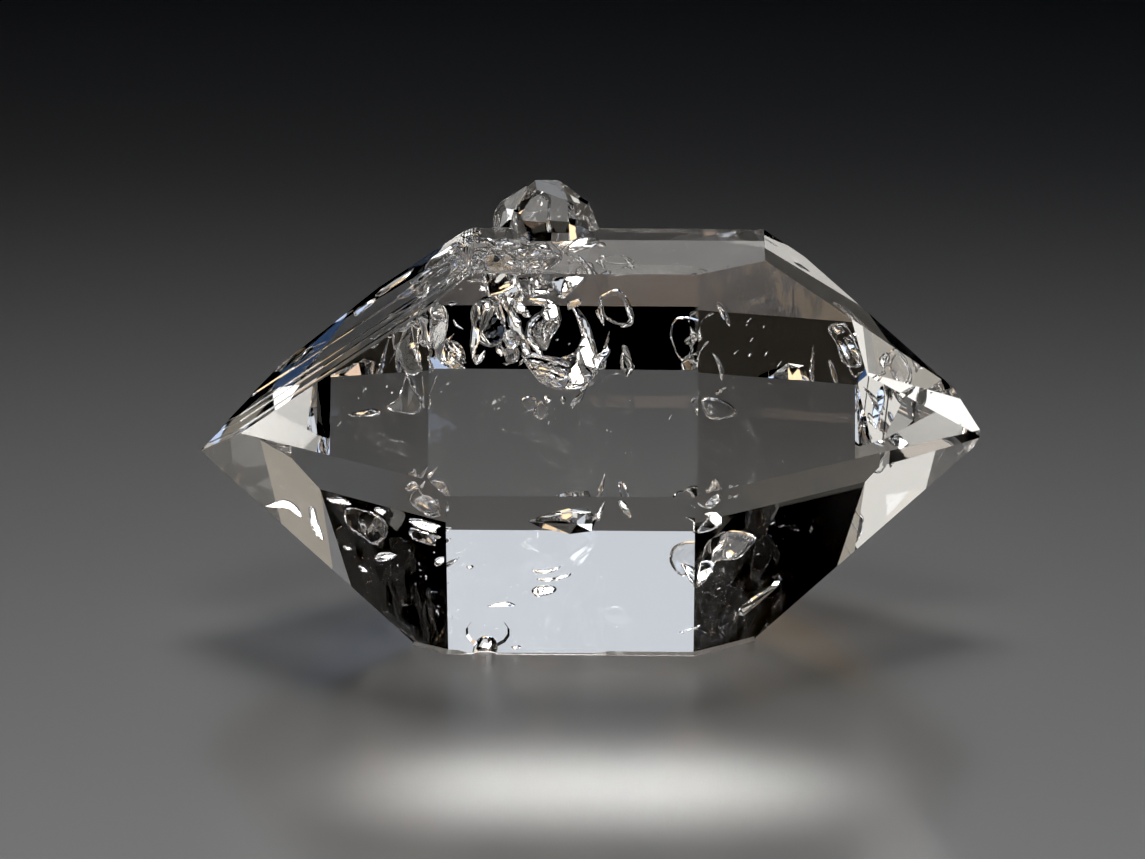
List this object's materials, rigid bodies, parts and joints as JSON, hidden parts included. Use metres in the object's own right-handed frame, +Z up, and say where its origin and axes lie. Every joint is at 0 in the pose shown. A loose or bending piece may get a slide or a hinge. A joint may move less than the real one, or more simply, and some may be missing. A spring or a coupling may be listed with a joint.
{
  "type": "herkimer diamond quartz crystal",
  "caption": "Clear, short, doubly terminated quartz crystal lying on a long prism face, with much smaller crystals grown on its top back edge.",
  "frame": {"origin": "bottom centre of the bounding box, on the surface that the crystal lies on", "axes": "+X along the crystal's long axis, from the tip with ledges beside it to the other tip; +Z up, out of the prism face that is uppermost; -Y is the side that is seen in the picture"},
  "size_m": [0.0254, 0.0142, 0.0143],
  "materials": {
    "clear_quartz": "natural crystal faces, glossy and colourless, with refractive index 1.54",
    "healed_crack": "thin films, hollows and specks inside the clear crystal, bright where light strikes them"
  },
  "bodies": {
    "root": {"quartz_crystal": "clear_quartz"}
  },
  "joints": []
}
